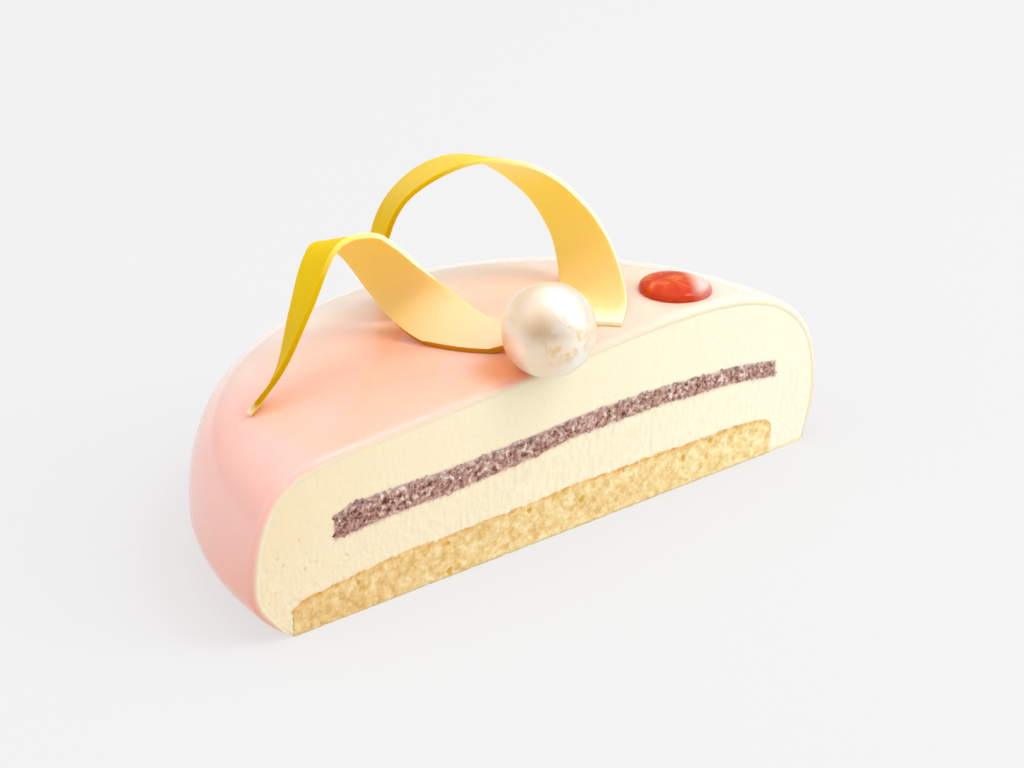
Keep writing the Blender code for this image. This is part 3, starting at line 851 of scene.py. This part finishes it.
def broken_grains():
    """Scatters rough grains over a cut face, each with its own size, turn and tint, and keeps the face."""
    tree, values = new_tree("broken grains", {
        "grain size": "Float", "grains per area": "Float", "seed": "Int", "finish": "Material",
    }, ["face"])
    work_out(tree, values, (
        ("density", "MULTIPLY", "face", "grains per area"),
        ("points", "GeometryNodeDistributePointsOnFaces", {
            "Mesh": "Geometry", "Density": "density", "Seed": "seed",
        }),
        ("own tint", "FunctionNodeRandomValue FLOAT", {2: -0.5, 3: 0.5, "Seed": "seed"}),
        ("tinted", "GeometryNodeStoreNamedAttribute FLOAT", {
            "Geometry": "points", "Name": "tint", "Value": "own tint",
        }),
        ("ball", "GeometryNodeMeshIcoSphere", "grain size", 2),
        ("place", "GeometryNodeInputPosition"),
        ("lump scale", "DIVIDE", 1.1, "grain size"),
        ("lumps", "ShaderNodeTexNoise", {"Vector": "place", "Scale": "lump scale"}),
        ("swell", "MULTIPLY_ADD", "lumps", 1.6, -0.8),
        ("push", "ShaderNodeVectorMath SCALE", {0: "place", "Scale": "swell"}),
        ("lump", "GeometryNodeSetPosition", {"Geometry": "ball", "Offset": "push"}),
        ("turns", "FunctionNodeRandomValue FLOAT_VECTOR", {1: (6.283, 6.283, 6.283), "Seed": "seed"}),
        ("sizes", "FunctionNodeRandomValue FLOAT_VECTOR", {
            0: (0.35, 0.3, 0.45), 1: (1.25, 0.9, 1.4), "Seed": "seed",
        }),
        ("grains", "GeometryNodeInstanceOnPoints", {
            "Points": "tinted", "Instance": "lump", "Rotation": "turns", "Scale": "sizes",
        }),
    ))
    return end_tree(tree, values, "grains", kept="Geometry")


def berry_finish():
    """Frozen berry puree: dull purple-brown, with paler icy and creamy bits that take up the light.

    Each broken grain has its own tint. The left end has more skins and is darker; the top edge
    is smeared grey with cream, and the bottom edge redder, where juice gathered.
    """
    material, tree, values = new_finish("frozen berry puree", ["tint", "rise"])
    work_out(tree, values, (
        ("x", "ShaderNodeSeparateXYZ", "place"),
        ("pulp", "ShaderNodeTexNoise", {
            "Vector": "place", "Scale": 1 / (1.4 * MM), "Detail": 3.0, "Roughness": 0.6, "Distortion": 0.3,
        }),
        ("own", "MULTIPLY_ADD", "tint", 0.16, "pulp"),
        ("skins", "ShaderNodeMapRange", "x", -50 * MM, -66 * MM, 0.0, 0.07),
        ("amount", "SUBTRACT", "own", "skins"),
    ))
    flesh = add_node(tree, "ShaderNodeValToRGB", {"Fac": values["amount"]}, stops=(
        (0.34, "#704236"), (0.42, "#a07466"), (0.5, "#bc9384"), (0.57, "#ceab9c"), (0.66, "#f0e2d8"),
    ))
    colour = coats(tree, values, flesh, (
        ("#b5adae", "rise", 0.72, 1.0, 0.3, "LINEAR"),
        ("#b98279", "rise", 0.25, 0.0, 0.5, "LINEAR"),
    ))
    end_finish(tree, colour, 0.5, 1.35, (0.15, (1.0, 0.4, 0.4), 0.4 * MM), (values["pulp"], 0.6, 0.25 * MM))
    return material


vertices, faces, face_values = layer_mesh(
    BERRY_CENTRE, BERRY_RADIUS, berry_bottom, berry_top, BERRY_COLUMNS, BERRY_ROWS, BERRY_ROUGH)
berries = new_object("berry_insert", vertices, faces)
x, y, z = np.array(vertices).T
store(berries.data, face=face_values, drag=np.ones(len(x)), holes=np.ones(len(x)),
      rise=(z - berry_bottom(x, 0)) / (berry_top(x, 0) - berry_bottom(x, 0)))
turn_outwards(berries)
puree = berry_finish()
grow(berries, CUT_RELIEF, {
    "bubble spacing": 1.6 * MM, "bubble share": 0.4, "bubble depth": 0.4 * MM, "bubble slope": 0.4,
    "grain spacing": 1.4 * MM, "grain height": 0.4 * MM, "drag spacing": 1.2 * MM, "drag height": 0.2 * MM,
    "seed": 8, "finish": puree,
})
grow(berries, broken_grains(), {
    "grain size": 0.5 * MM, "grains per area": 0.35 / MM ** 2, "seed": 11, "finish": puree,
})
berries.data.shade_smooth()
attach(berries, "root")
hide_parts("berry_layer")

# Pearl: a white chocolate ball tumbled in pearl powder, which leaves it slightly uneven, and
# pressed a little into the soft glaze at the cut's edge.
PEARL_RADIUS = 11.8 * MM
PEARL_PLACE = Vector((-2.1 * MM, CUT_Y - 0.3 * MM, 57.5 * MM))
PEARL_UNEVEN = 0.15 * MM
# The first is a painted reflection, a darker tan patch on the side facing the front; the others are warmer
# patches.
PEARL_WARM_PATCHES = (                                # direction from the middle, radius, share, colour
    ((-0.66, -0.545, 0.517), 10.0 * MM, 0.75, "#cda67c"),
    ((-0.93, 0.28, -0.25), 8.5 * MM, 0.8, "#f0bd78"),
    ((-0.57, -0.75, -0.33), 8.0 * MM, 0.5, "#f6c88c"),
    ((-0.52, 0.04, 0.855), 8.0 * MM, 0.5, "#eccaa8"),
)
PEARL_VEINED = (-0.3, -0.939, 0.17)             # where most of its veins are


def on_pearl(direction):
    """The place on the pearl that lies in a direction from its middle."""
    return tuple(PEARL_PLACE + Vector(direction).normalized() * PEARL_RADIUS)


def pearl_finish():
    """White chocolate under pearl powder: a satin, half metallic shine, ivory with soft gold veins.

    It has a painted reflection, a darker tan patch on the side facing the front, and it is warmer in a few
    other patches.
    """
    material, tree, values = new_finish("pearl chocolate")
    work_out(tree, values, (
        ("swirl", "ShaderNodeTexNoise", {
            "Vector": "place", "Scale": 1 / (14 * MM), "Detail": 1.5, "Distortion": 0.4,
        }),
        ("veining", "ShaderNodeTexNoise", {
            "Vector": "place", "Scale": 1 / (3.6 * MM), "Detail": 2.0, "Distortion": 0.9,
        }),
        ("from veined", "ShaderNodeVectorMath DISTANCE", "place", on_pearl(PEARL_VEINED)),
        ("veins here", "ShaderNodeMapRange SMOOTHSTEP", "from veined", 3 * MM, 9 * MM, 0.6, 0.09),
    ))
    ivory = add_node(tree, "ShaderNodeValToRGB", {"Fac": values["swirl"]}, stops=(
        (0.3, "#f0d8b4"), (0.46, "#fdf0dc"), (0.6, "#fffaf2"),
    ))
    veined = coats(tree, values, ivory, [("#ecbf62", "veining", 0.48, 0.66, "veins here")])
    # A painted reflection of the darker front, then warmer patches.
    colour = spots(tree, values, veined, [
        (on_pearl(direction), radius, 0.0, share, warmer) for direction, radius, share, warmer in PEARL_WARM_PATCHES
    ])
    end_finish(tree, colour, 0.32, 1.5, (0.2, (1.0, 0.8, 0.5), 1.0 * MM), others={"Metallic": 0.45})
    return material


bpy.ops.mesh.primitive_uv_sphere_add(segments=128, ring_count=80, radius=PEARL_RADIUS)
pearl = bpy.context.object
pearl.name = "pearl_ball"
for vertex in pearl.data.vertices:
    out = vertex.co.normalized()
    swell = PEARL_UNEVEN * (noise.noise(out * 1.7) + 0.3 * noise.noise(out * 6.0) - 1)
    vertex.co = PEARL_PLACE + out * (PEARL_RADIUS + swell)
pearl.data.materials.append(pearl_finish())
pearl.data.shade_smooth()
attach(pearl, "root")
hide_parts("pearl")

# Gel drop: fruit gel piped as one drop, which settled into a low clear dome with a wet skin.
DROP_PLACE = (50.0 * MM, 12.6 * MM)
DROP_RADIUS = 9.4 * MM
DROP_HEIGHT = 3.6 * MM
DROP_RIM = 0.5 * MM
DROP_FULLNESS = 0.8
DROP_LIFT = 0.05 * MM
# A painted reflection's edge: a thin dark curve across the drop.
DROP_REFLECTED_CURVE = ((-13.2 * MM, -7.5 * MM, 0.0), 12.9 * MM, 0.3 * MM)     # middle, radius and width
# Directions of the painted reflection towards the back and the painted highlight towards one side.
DROP_BACK = (0.42, 0.91, 0.0)
DROP_SIDE = (0.86, -0.51, 0.0)
TOP_LINES = {side: side_outline(side)[WALL_POINTS:][::-1] for side in ("right", "left")}


def top_height(x, y):
    """Height of the glaze at a place, y measured back from the cut."""
    left = (1 - math.cos(math.atan2(max(y, 0.0), x))) / 2
    heights = [float(np.interp(math.hypot(x, y), *TOP_LINES[side].T)) for side in ("right", "left")]
    return heights[0] * (1 - left) + heights[1] * left


def gel_finish():
    """Clear set gel with fruit in it: light goes in, and comes out deep orange red.

    Towards the back it is painted a paler orange, a painted reflection, and towards one side
    white-pink, a painted highlight. A thin dark curve through it is a painted reflection's edge.
    """
    material, tree, values = new_finish("red fruit gel")
    middle = (DROP_PLACE[0], CUT_Y + DROP_PLACE[1], 0.0)
    curve_middle, curve_radius, curve_width = DROP_REFLECTED_CURVE
    work_out(tree, values, (
        ("pulp", "ShaderNodeTexNoise", {
            "Vector": "place", "Scale": 1 / (5 * MM), "Detail": 3.0, "Distortion": 0.8,
        }),
        ("from middle", "ShaderNodeVectorMath SUBTRACT", "place", middle),
        ("across", "ShaderNodeVectorMath MULTIPLY", "from middle", (1.0, 1.0, 0.0)),
        ("reach", "ShaderNodeVectorMath LENGTH", "across"),
        ("from fold", "ShaderNodeVectorMath DISTANCE", "across", curve_middle),
        ("beside fold", "SUBTRACT", "from fold", curve_radius),
        ("off fold", "ABSOLUTE", "beside fold"),
        ("to back", "ShaderNodeVectorMath DOT_PRODUCT", "from middle", DROP_BACK),
        ("to side", "ShaderNodeVectorMath DOT_PRODUCT", "from middle", DROP_SIDE),
    ))
    fruit = add_node(tree, "ShaderNodeValToRGB", {"Fac": values["pulp"]}, stops=(
        (0.36, "#e03e00"), (0.5, "#e84e06"), (0.64, "#ff8036"),
    ))
    colour = coats(tree, values, fruit, (
        # Painted reflection's edge, a thin dark curve.
        ("#9c1404", "off fold", curve_width, 0.0, 0.7),
        # Paler towards the back: painted reflection. White-pink towards one side: painted highlight.
        ("#ff9438", "to back", 3.5 * MM, 7.5 * MM, 0.85),
        ("#fff4ea", "to side", 2.0 * MM, 6.5 * MM, 0.85),
        ("#dc4a14", "reach", 0.84 * DROP_RADIUS, DROP_RADIUS, 0.8),
    ))
    end_finish(tree, colour, 0.03, 1.38, (0.5, (1.0, 0.25, 0.1), 1.5 * MM),
               others={"Specular IOR Level": 0.22, "Transmission Weight": 0.3})
    return material


bpy.ops.mesh.primitive_uv_sphere_add(segments=96, ring_count=48, radius=1.0)
drop = bpy.context.object
drop.name = "gel_dome"
for vertex in drop.data.vertices:
    x = DROP_PLACE[0] + vertex.co.x * DROP_RADIUS
    y = DROP_PLACE[1] + vertex.co.y * DROP_RADIUS
    lift = DROP_LIFT
    if vertex.co.z > -0.01:
        lift += DROP_RIM + (DROP_HEIGHT - DROP_RIM) * max(vertex.co.z, 0.0) ** DROP_FULLNESS
    vertex.co = (x, CUT_Y + y, top_height(x, y) + lift)
drop.data.materials.append(gel_finish())
drop.data.shade_smooth()
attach(drop, "root")
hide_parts("gel_drop")

# Curls: white chocolate coloured with cocoa butter, spread thin on a strip of film, wound while
# it set and broken off. The outside has the strong yellow of the film side, the inside is paler.
CURL_THICKNESS = 1.3 * MM
CURL_LIFT = 0.05 * MM
CURL_WORN = 0.35 * MM
CURL_STATIONS = {                               # place with y from the cut, and half the strip's width
    "curl_front": (
        ((-68.2, 31.1, 42.9), (-0.9, -0.9, 0.9)),
        ((-59.0, 31.4, 51.7), (-2.0, -4.1, 2.5)),
        ((-50.3, 34.7, 63.6), (-1.4, -6.2, 3.1)),
        ((-40.9, 39.5, 73.7), (0.2, -7.0, 4.4)),
        ((-31.6, 42.5, 74.6), (3.2, -7.2, 2.7)),
        ((-23.1, 44.4, 68.8), (3.0, -7.1, 2.8)),
        ((-16.6, 41.7, 59.6), (3.1, -5.6, 5.1)),
        ((-11.9, 35.5, 52.6), (6.9, 0.9, 3.9)),
        ((-6.3, 25.9, 47.9), (7.0, 4.1, 2.0)),
        ((0.0, 17.8, 48.3), (5.8, 5.5, -0.9)),
    ),
    "curl_back": (
        ((-10.0, 53.4, 47.0), (-2.1, -8.3, 0.0)),
        ((-13.1, 54.4, 61.9), (-3.8, -7.6, 0.0)),
        ((-8.2, 52.9, 75.7), (-3.3, -7.5, 2.2)),
        ((5.3, 50.7, 82.4), (-0.9, -8.1, 2.4)),
        ((20.2, 49.7, 80.3), (-0.2, -8.3, 2.0)),
        ((31.4, 45.8, 72.7), (-1.0, -7.2, 4.3)),
        ((36.1, 39.5, 64.4), (0.4, -6.6, 5.3)),
        ((36.0, 33.3, 57.7), (2.7, -5.8, 5.6)),
        ((32.7, 26.2, 52.6), (5.2, -5.2, 4.3)),
        ((27.4, 18.1, 49.1), (6.0, -5.7, 2.1)),
        ((19.2, 10.2, 49.1), (5.5, -6.2, 0.3)),
    ),
}


def path_ribbon():
    """A strip along a path, which stores half the strip's width at each of its points as a vector."""
    tree, values = new_tree("ribbon on a path", {
        "length steps": "Int", "width steps": "Int", "path detail": "Int", "finish": "Material",
    })
    path = add_node(tree, "GeometryNodeMeshToCurve", {"Mesh": values["Geometry"]})
    values["smooth"] = add_node(tree, "GeometryNodeCurveSplineType", {"Curve": path},
                                spline_type="CATMULL_ROM")
    work_out(tree, values, (
        ("fine", "GeometryNodeSetSplineResolution", {"Geometry": "smooth", "Resolution": "path detail"}),
        ("columns", "ADD", "length steps", 1.0),
        ("rows", "ADD", "width steps", 1.0),
        ("sheet", "GeometryNodeMeshGrid", 1.0, 2.0, "columns", "rows"),
        ("place", "GeometryNodeInputPosition"),
        (("x", "across"), "ShaderNodeSeparateXYZ", "place"),
        ("along", "ADD", "x", 0.5),
        ("half width", "GeometryNodeInputNamedAttribute FLOAT_VECTOR", {"Name": "reach"}),
    ))
    sample = add_node(tree, "GeometryNodeSampleCurve", {
        "Curves": values["fine"], "Value": values["half width"], "Factor": values["along"],
    }, data_type="FLOAT_VECTOR", mode="FACTOR", use_all_curves=True)
    work_out(tree, values, (
        ("half", "ShaderNodeVectorMath SCALE", {0: sample.outputs["Value"], "Scale": "across"}),
        ("strip", "ShaderNodeVectorMath ADD", sample.outputs["Position"], "half"),
    ))
    return end_tree(tree, values, "sheet", stored=["along", "across"], Position="strip")


def curl_finish(name, stops, roughness, gloss, sheen, shaded_edge_colour=None):
    """Tempered chocolate with yellow cocoa butter: thin enough to glow where light falls behind it.

    The film side has no white gloss but a soft yellow sheen, from the coloured butter. Faint
    streaks run along the strip, from the spreading knife. One long edge can take painted shade.
    """
    material, tree, values = new_finish(name, ["along", "across"])
    work_out(tree, values, (
        ("strip", "ShaderNodeCombineXYZ", "along", "across"),
        ("stretched", "ShaderNodeMapping", {"Vector": "strip", "Scale": (5.0, 3.0, 1.0)}),
        ("streaks", "ShaderNodeTexNoise", {"Vector": "stretched", "Scale": 1.0, "Detail": 3.0}),
        ("centred", "MULTIPLY_ADD", "streaks", 0.07, -0.035),
        ("uneven", "ADD", "along", "centred"),
        ("grain", "ShaderNodeTexNoise", {"Vector": "place", "Scale": 1 / (2.5 * MM), "Detail": 2.0}),
    ))
    colour = add_node(tree, "ShaderNodeValToRGB", {"Fac": values["uneven"]}, stops=stops)
    # Painted shade: the long edge that faces down, away from the light, is darker.
    if shaded_edge_colour:
        work_out(tree, values, [("far edge", "LESS_THAN", "across", 0.0)])
        colour = coats(tree, values, colour, [(shaded_edge_colour, "far edge")])
    end_finish(tree, colour, roughness, 1.5, (0.5, (1.0, 0.85, 0.4), 1.6 * MM),
               (values["grain"], 0.15, 0.1 * MM), {"Specular IOR Level": gloss, "Metallic": sheen})
    return material


RIBBON = path_ribbon()
OUTSIDES = {
    "curl_front": curl_finish("yellow chocolate, film side", (
        (0.02, "#e8b41c"), (0.08, "#e0ad02"), (0.2, "#e0b602"), (0.32, "#ecc303"), (0.5, "#f4cc18")),
        0.4, 0.0, 0.2),
    "curl_back": curl_finish("yellow chocolate, film side, paler arch", (
        (0.02, "#e8b41c"), (0.1, "#e4b202"), (0.19, "#e4ba06"), (0.28, "#eec548"), (0.42, "#f4cc48")),
        0.4, 0.0, 0.2),
}
INSIDES = {
    "curl_front": curl_finish("yellow chocolate, open side", (
        (0.5, "#f4de5a"), (0.68, "#f5de7e"), (0.8, "#f4d094"), (0.93, "#fbd0a8")),
        0.4, 0.2, 0.0),
    "curl_back": curl_finish("yellow chocolate, open side, paler end", (
        (0.42, "#ffee8c"), (0.6, "#ffe757"), (0.72, "#fee070"), (0.84, "#f8cc7c"), (0.93, "#f8d48c"),
        (1.0, "#fff2d2")), 0.4, 0.2, 0.0),
}
# Its one long edge takes painted shade, a darker orange brown.
broken = curl_finish("white chocolate, broken edge", (
    (0.0, "#fdf0c8"), (0.03, "#c89c00"), (0.33, "#d8b20c"), (0.43, "#fbe07a"), (0.55, "#fff4c8")),
    0.45, 0.0, 0.1, shaded_edge_colour="#cc8a20")

for name, node in (("curl_front", "front_curl"), ("curl_back", "back_curl")):
    stations = CURL_STATIONS[name]
    path = [Vector(place) * MM + Vector((0.0, CUT_Y, 0.0)) for place, _ in stations]
    curl = new_object(name, path, edges=[(k, k + 1) for k in range(len(path) - 1)])
    store(curl.data, reach=[[side * MM for side in reach] for _, reach in stations])
    grow(curl, RIBBON, {"length steps": 200, "width steps": 12, "path detail": 24, "finish": INSIDES[name]})
    for vertex in curl.data.vertices:
        lowest = top_height(vertex.co.x, vertex.co.y - CUT_Y) + CURL_LIFT + CURL_THICKNESS / 2
        vertex.co.z = max(vertex.co.z, lowest)
    curl.data.materials.append(OUTSIDES[name])
    curl.data.materials.append(broken)
    thick = curl.modifiers.new("thickness", "SOLIDIFY")
    thick.thickness = CURL_THICKNESS
    thick.offset = 0.0
    thick.material_offset = 1
    thick.material_offset_rim = 2
    soft = curl.modifiers.new("worn edges", "BEVEL")
    soft.width = CURL_WORN
    soft.segments = 2
    soft.limit_method = "ANGLE"
    soft.angle_limit = math.radians(50)
    curl.data.shade_smooth()
    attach(curl, "root")
    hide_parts(node)
